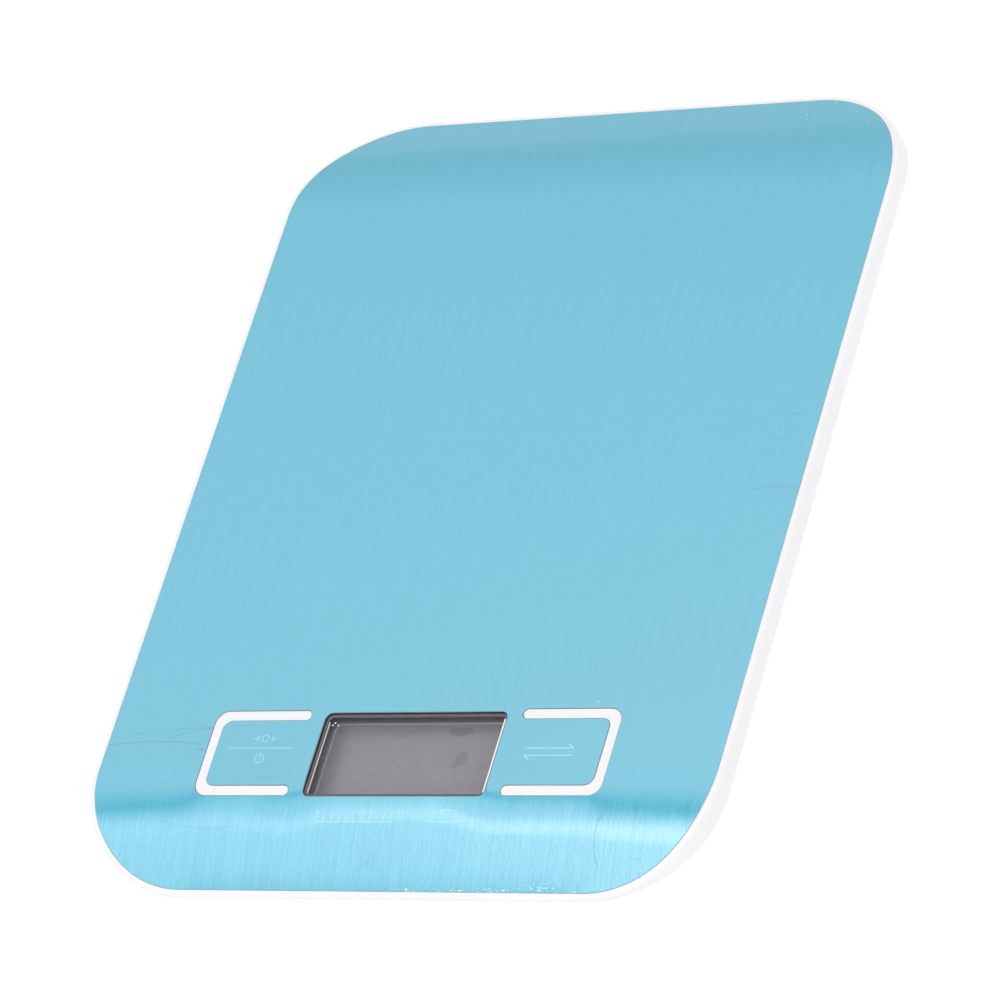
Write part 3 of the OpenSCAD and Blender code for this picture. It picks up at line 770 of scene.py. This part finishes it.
def simple(name, col, rough=0.4, metallic=0.0, var=0.12, scale=400.0, grain=0.08, col2=None):
    """A moulded, plated or coated finish with fine variation of colour, gloss and relief."""
    m, nt, bs = material(name)
    big = noise(nt, coords(nt, (scale, scale, scale)), 1.0, 3.0, 0.55)
    fine = noise(nt, coords(nt, (6000, 6000, 6000)), 1.0, 2.0, 0.5)
    c2 = col2 or tuple(max(0.0, c * (1 - var)) for c in col)
    nt.links.new(mix_rgb(nt, remap(nt, big, 0.3, 0.7, 0, 1), col, c2), bs.inputs["Base Color"])
    nt.links.new(remap(nt, fine, 0.3, 0.7, max(0.02, rough - 0.06), rough + 0.08), bs.inputs["Roughness"])
    bs.inputs["Metallic"].default_value = metallic
    nt.links.new(bump(nt, fine, grain, 0.00004), bs.inputs["Normal"])
    return m


def wire_pair():
    """Insulation of the two battery leads: red for the inner one, black for the outer one."""
    m, nt, bs = material("wire_pair")
    _, x, y = xyz_mm(nt)
    f = mathn(nt, "ADD", remap(nt, y, -61.4, -54.0, 0, 1.05), remap(nt, y, -54.0, -20.0, 0, 2.0))
    f = mathn(nt, "ADD", f, mathn(nt, "ADD", remap(nt, y, -20.0, 28.0, 0, 2.0), remap(nt, y, 28.0, 66.0, 0, 4.0)))
    outer = remap(nt, mathn(nt, "SUBTRACT", mathn(nt, "ADD", f, -38.8), x), -0.01, 0.01, 0, 1)
    outer = mathn(nt, "MAXIMUM", outer, remap(nt, y, 57.0, 57.2, 0, 1))
    big = noise(nt, coords(nt, (500, 500, 500)), 1.0, 3.0, 0.55)
    fine = noise(nt, coords(nt, (6000, 6000, 6000)), 1.0, 2.0, 0.5)
    red = mix_rgb(nt, remap(nt, big, 0.3, 0.7, 0, 1), (0.55, 0.035, 0.03), (0.47, 0.030, 0.026))
    nt.links.new(mix_rgb(nt, outer, red, (0.03, 0.03, 0.032)), bs.inputs["Base Color"])
    nt.links.new(remap(nt, fine, 0.3, 0.7, 0.36, 0.50), bs.inputs["Roughness"])
    nt.links.new(bump(nt, fine, 0.05, 0.00004), bs.inputs["Normal"])
    return m


BLUE = brushed_blue()
EDGE = simple("cut_steel_edge", (0.42, 0.48, 0.51), 0.42, 0.2, 0.15, 900, 0.1)
MARK = simple("etched_mark", (0.40, 0.76, 0.86), 0.5, 0.0, 0.06, 700, 0.1)
MARK_SOFT = simple("soft_mark", (0.33, 0.71, 0.82), 0.5, 0.0, 0.06, 700, 0.1)
MARK_BLIND = simple("blind_mark", (0.32, 0.69, 0.79), 0.45, 0.0, 0.08, 700, 0.1)
FRAME_GREY = simple("lcd_frame_grey", (0.55, 0.53, 0.60), 0.3, 0, 0.1, 700, 0.05)
RIM_DARK = simple("lens_lip_dark", (0.115, 0.105, 0.120), 0.18, 0, 0.15, 700, 0.05)
LIP_HIGHLIGHT_PINK = simple("lens_crest", (0.84, 0.76, 0.82), 0.2, 0, 0.10, 700, 0.05)
CREST_HIGHLIGHT_GREY = simple("crest_highlight_grey", (0.66, 0.61, 0.67), 0.25, 0, 0.10, 700, 0.05)
GLINT_WHITE = simple("lens_glint", (0.92, 0.91, 0.92), 0.2, 0, 0.05, 700, 0.05)
WHITE = white_plastic(tint=(0.838, 0.832, 0.850))
BEZEL = dark_bezel()
LENS = clear_lens()
LCD = lcd_face()
RUBBER = simple("foot_rubber", (0.035, 0.035, 0.038), 0.75, 0, 0.25, 900, 0.3)
NICKEL = simple("nickel", (0.72, 0.70, 0.66), 0.25, 1.0, 0.08, 900, 0.05)
ZINC = simple("zinc_screw", (0.58, 0.58, 0.60), 0.32, 1.0, 0.12, 1500, 0.08)
ALU = simple("milled_aluminium", (0.76, 0.77, 0.78), 0.34, 1.0, 0.08, 700, 0.15)
GAUGE = simple("gauge_coating", (0.82, 0.82, 0.77), 0.5, 0, 0.08, 500, 0.1)
WIRE_R = simple("wire_red", (0.55, 0.035, 0.03), 0.42, 0, 0.15, 500, 0.05)
TAPE = simple("adhesive_film", (0.80, 0.79, 0.75), 0.55, 0, 0.06, 300, 0.05)
ZEBRA = simple("zebra_rubber", (0.60, 0.30, 0.34), 0.6, 0, 0.15, 2500, 0.1)
CHIP = simple("chip_epoxy", (0.012, 0.012, 0.013), 0.22, 0, 0.3, 300, 0.05)
PARTS = simple("component_body", (0.42, 0.31, 0.18), 0.45, 0, 0.3, 700, 0.1)
SWITCH = simple("switch_body", (0.05, 0.05, 0.055), 0.4, 0, 0.2, 900, 0.1)
PLUNGER = simple("switch_plunger", (0.78, 0.78, 0.76), 0.4, 0, 0.06, 900, 0.05)
BOARD = simple("board_mask", (0.012, 0.115, 0.050), 0.3, 0, 0.25, 900, 0.1)
CELL = simple("cell_sleeve", (0.10, 0.11, 0.12), 0.3, 0, 0.2, 300, 0.03)


# ------------------------------------------------------------------ plate and key leaves
def near_root(x, y):
    return abs(abs(x) - KEY_ROOT) < 1e-6 and abs(y - KEY_Y) <= KEY_D / 2 - SLOT_W / 2 + 1e-6


window = rrect(WIN_W, WIN_D, 2.0, 0, WIN_Y, n=10)
plate = slab("plate_sheet", rrect(PLATE_W, PLATE_D, PLATE_R), [window, key_hole(), flip(key_hole())],
             SKIN, PLATE_T, [BLUE, EDGE], edge=0.10, edge_low=0.04, seam=near_root, nfun=pressed_normal)
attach(plate, "platform")
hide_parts("platform_plate")
for side, body, node in ((1, "unit_key", "unit_key_tongue"), (-1, "power_key", "power_key_tongue")):
    pts = key_leaf() if side > 0 else flip(key_leaf())
    leaf = slab(node.replace("tongue", "leaf"), pts, [], SKIN, PLATE_T, [BLUE, EDGE], edge=0.10, edge_low=0.04,
                seam=near_root, grid=2.0, nfun=pressed_normal)
    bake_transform(leaf)
    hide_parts(node)


# ------------------------------------------------------------------ marks on the plate: plain signs only
def mirror_x(o):
    return flip(o)


LINE = 0.36
KY = -77.3
left_marks = [bar(-51.6, KY, -32.8, KY, 0.34)]
# small sign over the line: a ring between two arrows
left_marks += [arc_stroke(-41.7, -74.6, 0.95, 0, 359.0, 0.28, 28),
               bar(-45.1, -74.6, -43.5, -74.6, 0.26), bar(-43.5, -74.6, -44.2, -73.9, 0.26), bar(-43.5, -74.6, -44.2, -75.3, 0.26),
               bar(-38.3, -74.6, -39.9, -74.6, 0.26), bar(-39.9, -74.6, -39.2, -73.9, 0.26), bar(-39.9, -74.6, -39.2, -75.3, 0.26)]
# stand-by sign under the line
left_marks += [arc_stroke(-41.7, -80.15, 1.25, 125, 415, 0.34, 26), bar(-41.7, -78.6, -41.7, -80.0, 0.34)]
power_sign = strokes("power_key_sign", left_marks, [MARK_BLIND])
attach(power_sign, "power_key")
# two opposite arrows on the right key
right_marks = [bar(34.2, -77.6, 47.4, -77.6, LINE), bar(47.4, -77.6, 45.9, -76.5, LINE),
               bar(47.4, -79.6, 34.2, -79.6, LINE), bar(34.2, -79.6, 35.7, -80.7, LINE)]
unit_sign = strokes("unit_key_sign", right_marks, [MARK_SOFT])
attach(unit_sign, "unit_key")
# a plain graduated line and a pointer in front of the window
front_marks = [bar(-20.3, -97.1, 1.3, -97.1, 0.34)]
for i in range(11):
    tall = 2.9 if i % 5 == 0 else 1.6
    front_marks.append(bar(-20.3 + 2.16 * i, -97.1, -20.3 + 2.16 * i, -97.1 + tall, 0.32))
front_marks += [bar(11.2, -97.1, 21.3, -97.1, 0.34), bar(16.25, -96.6, 14.75, -94.1, 0.34), bar(16.25, -96.6, 17.75, -94.1, 0.34),
                bar(14.75, -94.1, 17.75, -94.1, 0.34)]
front_sign = strokes("graduation_sign", front_marks, [MARK])
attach(front_sign, "platform")

# ------------------------------------------------------------------ white shell
def lower_edge(y):
    a = abs(y)
    if a <= 79:
        return 11.4
    if a >= 103:
        return 9.0
    h = 1.2
    r = (144 + h * h) / (2 * h)
    if a < 91:
        return 11.4 - (r - math.sqrt(r * r - (a - 79) ** 2))
    return 9.0 + (r - math.sqrt(r * r - (103 - a) ** 2))


def shell_section(x, y):
    dx = x - max(CORNER - W / 2, min(W / 2 - CORNER, x))
    dy = y - max(CORNER - D / 2, min(D / 2 - CORNER, y))
    ny = dy / math.hypot(dx, dy)

    def rim(ins, sunk):
        return top(x, y - ny * ins, 0.05) - sunk

    zl = lower_edge(y)
    sec = [(3.0, rim(3.0, 2.25)), (2.0, max(rim(2.0, 2.25), zl + 0.37)), (2.0, zl + 0.35)]
    sec += [(2.0 - 0.35 * (1 - math.cos(a)), zl + 0.35 * (1 - math.sin(a))) for a in [math.pi / 2 * k / 3 for k in (1, 2, 3)]]
    sec += [(0.6 - 0.6 * math.sin(a), zl + 0.6 * (1 - math.cos(a))) for a in [math.pi / 2 * k / 5 for k in range(6)]]
    r = 0.85
    sec += [(0.0, (zl + 0.6 + rim(0.0, r)) / 2)]
    for a in [math.pi / 2 * k / 6 for k in range(7)]:
        ins = r * (1 - math.cos(a))
        sec.append((ins, rim(ins, r * (1 - math.sin(a)))))
    e, seat = 0.10, 1.45
    for a in [math.pi / 2 * k / 3 for k in range(4)]:
        ins = seat - e * (1 - math.sin(a))
        sec.append((ins, rim(ins, e * (1 - math.cos(a)))))
    sec += [(seat, rim(seat, 0.65)), (3.0, rim(3.0, 0.65))]
    return sec


skirt = sweep_ring("platform_skirt", rrect(W, D, CORNER, n=28), shell_section, [WHITE])
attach(skirt, "platform")
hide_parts("platform_shell")

display_cut = rrect(56.8, 27.8, 2.2, 0, WIN_Y, n=8)
roof = slab("platform_roof", rrect(W - 6, D - 6, CORNER - 3), [display_cut], 0.7, 2.3, [WHITE], edge=0.02, edge_low=0.1)
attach(roof, "platform")
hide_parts("platform_shell")
for side in (1, -1):
    pts = u_slot(0.13) if side > 0 else flip(u_slot(0.13))
    rib = slab("slot_rib_right" if side > 0 else "slot_rib_left", pts, [], 0.10, 0.75, [WHITE], edge=0.16, edge_low=0.02, grid=6.0)
    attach(rib, "platform")
    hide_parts("platform_shell")

# ------------------------------------------------------------------ display: lens with a raised lip, frame, painted highlight lines and glints
shoulder = sweep_ring("lens_lip", rrect(53.4, 24.3, 2.5, 0, WIN_Y, n=12),
                      lambda x, y: [(0.90 - 0.55 * math.cos(a), 15.80 + 0.42 * max(0.0, math.sin(a)) ** 0.7)
                                    for a in [math.pi * k / 10 for k in range(11)]], [RIM_DARK], angle=60)
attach(shoulder, "platform")
# the crest ring is light grey: a painted highlight line along the lip
crest = sweep_ring("lens_crest", rrect(53.4, 24.3, 2.5, 0, WIN_Y, n=12),
                   lambda x, y: [(1.04 - 0.09 * math.cos(a), 16.12 + 0.09 * math.sin(a)) for a in [math.pi * k / 5 for k in range(10)]],
                   [CREST_HIGHLIGHT_GREY], angle=80)
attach(crest, "platform")
# light strips along the left and right edges of the window: painted highlight lines, pinkish at left and near white at
# right
for name, px, wide, high, y0, y1 in (("lens_ridge_left", -25.02, 0.24, 16.12, -89.3, -69.6), ("lens_ridge_right", 25.38, 0.48, 16.42, -89.2, -69.3)):
    ridge = slab(name, bar(px, y0, px, y1, wide), [], 0.0, high - 15.7, [LIP_HIGHLIGHT_PINK if px < 0 else GLINT_WHITE], edge=0.08, edge_low=0.0, grid=60.0,
                 zfun=lambda x, y, t, h=high: h - t, nfun=lambda x, y: Vector((0, 0, 1)))
    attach(ridge, "platform")
# three near-white dots at the top-left corner of the window: painted glints of the lamps
for i, (px, py) in enumerate(((-23.56, -69.62), (-24.12, -70.30), (-22.42, -70.30))):
    pip = slab(f"lens_glint_{i}", arc(px, py, 0.23, 0, 330, 11), [], 0.0, 0.15, [GLINT_WHITE], edge=0.05, edge_low=0.0, grid=60.0,
               zfun=lambda x, y, t: 15.88 - t, nfun=lambda x, y: Vector((0, 0, 1)))
    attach(pip, "platform")
lens = slab("lens_pane", rrect(54, 25, 2.4, 0, WIN_Y, n=12), [], H - 15.8, H - 14.6, [LENS], edge=0.15, edge_low=0.15,
            grid=60.0, zfun=lambda x, y, t: H - t, nfun=lambda x, y: Vector((0, 0, 1)))
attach(lens, "platform")
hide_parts("display_lens")
ledge = sweep_ring("lcd_frame", rrect(52.3, 23.2, 1.9, 0, WIN_Y, n=10),
                   lambda x, y: [(0.02, 11.02), (0.42, 11.02), (0.42, 11.24), (0.36, 11.30), (0.02, 11.36)],
                   [FRAME_GREY], angle=30)
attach(ledge, "platform")

# ------------------------------------------------------------------ materials of the CAD pieces that stay
KEEP = {
    "base_shell": WHITE, "battery_door": WHITE, "rubber_feet": RUBBER, "battery_cell_front": CELL, "battery_cell_rear": CELL,
    "battery_contact_bridge": NICKEL, "battery_contact_negative": NICKEL, "battery_contact_positive": NICKEL,
    "load_cell": ALU, "strain_gauges": GAUGE, "load_cell_base_spacer": ALU, "load_cell_platform_spacer": ALU,
    "load_cell_base_screws": ZINC, "load_cell_platform_screws": ZINC, "load_cell_wires": WIRE_R, "battery_wires": wire_pair(),
    "plate_adhesive": TAPE, "power_key_pad": WHITE, "unit_key_pad": WHITE, "display_lens": LENS, "display_bezel": BEZEL,
    "lcd_panel": LCD, "zebra_strips": ZEBRA, "main_pcb": BOARD, "controller_chip": CHIP, "pcb_components": PARTS,
    "power_switch_housing": SWITCH, "unit_switch_housing": SWITCH, "power_switch_plunger": PLUNGER,
    "unit_switch_plunger": PLUNGER, "pcb_screws": ZINC,
}
for name, mat in KEEP.items():
    ob = NODE[name]
    ob.data.materials.clear()
    ob.data.materials.append(mat)

for name in ("base_shell", "battery_door"):
    soften(NODE[name], 0.25)


# ------------------------------------------------------------------ load cell and gauges: copies cut across at even steps between the bores
def bending_copy(name, node, mat):
    src = NODE[node]
    bm = bmesh.new()
    bm.from_mesh(src.data)
    bm.transform(src.matrix_world)
    for y in (-7.5, -6, -4.5, -3, -1.5, 0, 1.5, 3, 4.5, 6, 7.5):
        geom = bm.verts[:] + bm.edges[:] + bm.faces[:]
        bmesh.ops.bisect_plane(bm, geom=geom, plane_co=(0, y * MM, 0), plane_no=(0, 1, 0), dist=1e-7)
    me = bpy.data.meshes.new(name)
    bm.to_mesh(me)
    bm.free()
    ob = bpy.data.objects.new(name, me)
    bpy.context.scene.collection.objects.link(ob)
    me.materials.clear()
    me.materials.append(mat)
    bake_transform(ob)
    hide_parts(node)
    return ob


beam = bending_copy("load_cell_beam", "load_cell", ALU)
gauges = bending_copy("load_cell_gauges", "strain_gauges", GAUGE)

# ------------------------------------------------------------------ stage, light, camera
floor_mesh = bpy.data.meshes.new("floor")
floor_mesh.from_pydata([(-6, -6, -0.00003), (6, -6, -0.00003), (6, 6, -0.00003), (-6, 6, -0.00003)], [], [(0, 1, 2, 3)])
floor = bpy.data.objects.new("floor", floor_mesh)
bpy.context.scene.collection.objects.link(floor)
fm = bpy.data.materials.new("floor_white")
fm.use_nodes = True
fnt = fm.node_tree
for n_ in list(fnt.nodes):
    fnt.nodes.remove(n_)
fo = fnt.nodes.new("ShaderNodeOutputMaterial")
fa = fnt.nodes.new("ShaderNodeAddShader")
fd = fnt.nodes.new("ShaderNodeBsdfDiffuse")
fe = fnt.nodes.new("ShaderNodeEmission")
fd.inputs["Color"].default_value = (0.16, 0.16, 0.16, 1)
fe.inputs["Color"].default_value = (1, 1, 1, 1)
fe.inputs["Strength"].default_value = 0.88
fnt.links.new(fd.outputs[0], fa.inputs[0])
fnt.links.new(fe.outputs[0], fa.inputs[1])
fnt.links.new(fa.outputs[0], fo.inputs[0])
floor_mesh.materials.append(fm)

world = bpy.data.worlds.new("studio")
bpy.context.scene.world = world
world.use_nodes = True
wnt = world.node_tree
for n_ in list(wnt.nodes):
    wnt.nodes.remove(n_)
wo = wnt.nodes.new("ShaderNodeOutputWorld")
wb = wnt.nodes.new("ShaderNodeBackground")
wt = wnt.nodes.new("ShaderNodeTexCoord")
ws = wnt.nodes.new("ShaderNodeSeparateXYZ")
wnt.links.new(wt.outputs["Generated"], ws.inputs[0])
up = mathn(wnt, "MAXIMUM", ws.outputs[2], 0.02)
phi = mathn(wnt, "ARCTAN2", ws.outputs[1], up)      # towards the rear, from overhead
psi = mathn(wnt, "ARCTAN2", ws.outputs[0], up)      # towards the right, from overhead
# front to rear: low front light, overhead box, dark gap, rear box, fall-off
PROFILE = [(-90, 1.45), (-60, 1.34), (-45, 0.96), (-32, 0.55), (-20, 0.50), (-15, 0.85), (-12.5, 1.25), (-10.5, 1.50), (-8, 1.60), (-3, 1.60),
           (-1, 1.58), (1, 1.50), (3, 1.25), (5, 0.90), (7, 0.50), (8.5, 0.18), (10, 0.13), (11.5, 0.20), (13.5, 0.44), (15, 0.64),
           (17, 0.81), (21, 0.99), (25, 1.10), (30, 1.19), (33, 1.06), (35.5, 0.90), (38, 0.83), (50, 0.74), (60, 0.68),
           (70, 0.72), (80, 1.00), (90, 1.35)]
SCALE = 2.0


def window_of(v, a, b, c, d):
    """0 below a, rising to 1 at b, 1 up to c, falling to 0 at d, in degrees."""
    r = math.radians
    return mathn(wnt, "MULTIPLY", remap(wnt, v, r(a), r(b), 0, 1), remap(wnt, v, r(c), r(d), 1, 0))


fac = remap(wnt, phi, math.radians(-90), math.radians(90), 0, 1)
col = ramp(wnt, fac, [((p + 90) / 180, (v / SCALE,) * 3) for p, v in PROFILE])
side = mathn(wnt, "MULTIPLY", remap(wnt, psi, math.radians(-62), math.radians(-44), 0.82, 1.0),
             remap(wnt, psi, math.radians(-42), math.radians(-20), 1.0, 1.07))
side = mathn(wnt, "MULTIPLY", side, remap(wnt, psi, math.radians(-5), math.radians(25), 1.0, 0.86))
level = mathn(wnt, "MULTIPLY", col, side)
# a bright strip over the front that ends above the middle, and a slow rise towards the right
strip = mathn(wnt, "MULTIPLY", window_of(phi, -7.6, -6.2, -0.4, 1.8), window_of(psi, -33.9, -32.0, -29.0, -25.0))
level = mathn(wnt, "MULTIPLY_ADD", strip, 1.22 / SCALE, level)
rise = mathn(wnt, "MULTIPLY", window_of(phi, -18.0, -13.0, 1.0, 6.0), remap(wnt, psi, math.radians(-35.2), math.radians(-29), 0, 1))
level = mathn(wnt, "MULTIPLY_ADD", rise, 1.42 / SCALE, level)
near = mathn(wnt, "MULTIPLY", window_of(phi, 9.0, 20.0, 30.5, 35.0), remap(wnt, psi, math.radians(-38.5), math.radians(-34), 0, 1))
level = mathn(wnt, "MULTIPLY_ADD", near, 0.26 / SCALE, level)
grey = wnt.nodes.new("ShaderNodeCombineXYZ")
for k in range(3):
    wnt.links.new(level, grey.inputs[k])
wnt.links.new(grey.outputs[0], wb.inputs["Color"])
wb.inputs["Strength"].default_value = SCALE
wnt.links.new(wb.outputs[0], wo.inputs[0])

cam_data = bpy.data.cameras.new("camera")
cam = bpy.data.objects.new("camera", cam_data)
bpy.context.scene.collection.objects.link(cam)
cam_data.sensor_fit = "HORIZONTAL"
cam_data.sensor_width = 36.0
cam_data.lens = 226.35
cam_data.clip_start, cam_data.clip_end = 0.05, 50
right = Vector((0.84677008, 0.26599928, -0.46067864))
upv = Vector((0.02464661, 0.84545632, 0.53347554))
back = Vector((0.53138778, -0.46308529, 0.70935114))
rot = Matrix((right, upv, back)).transposed()
cam.matrix_world = Matrix.Translation((0.823845, -0.720944, 1.110525)) @ rot.to_4x4()
bpy.context.scene.camera = cam
bpy.context.scene.view_settings.view_transform = "Standard"
bpy.context.scene.view_settings.look = "None"
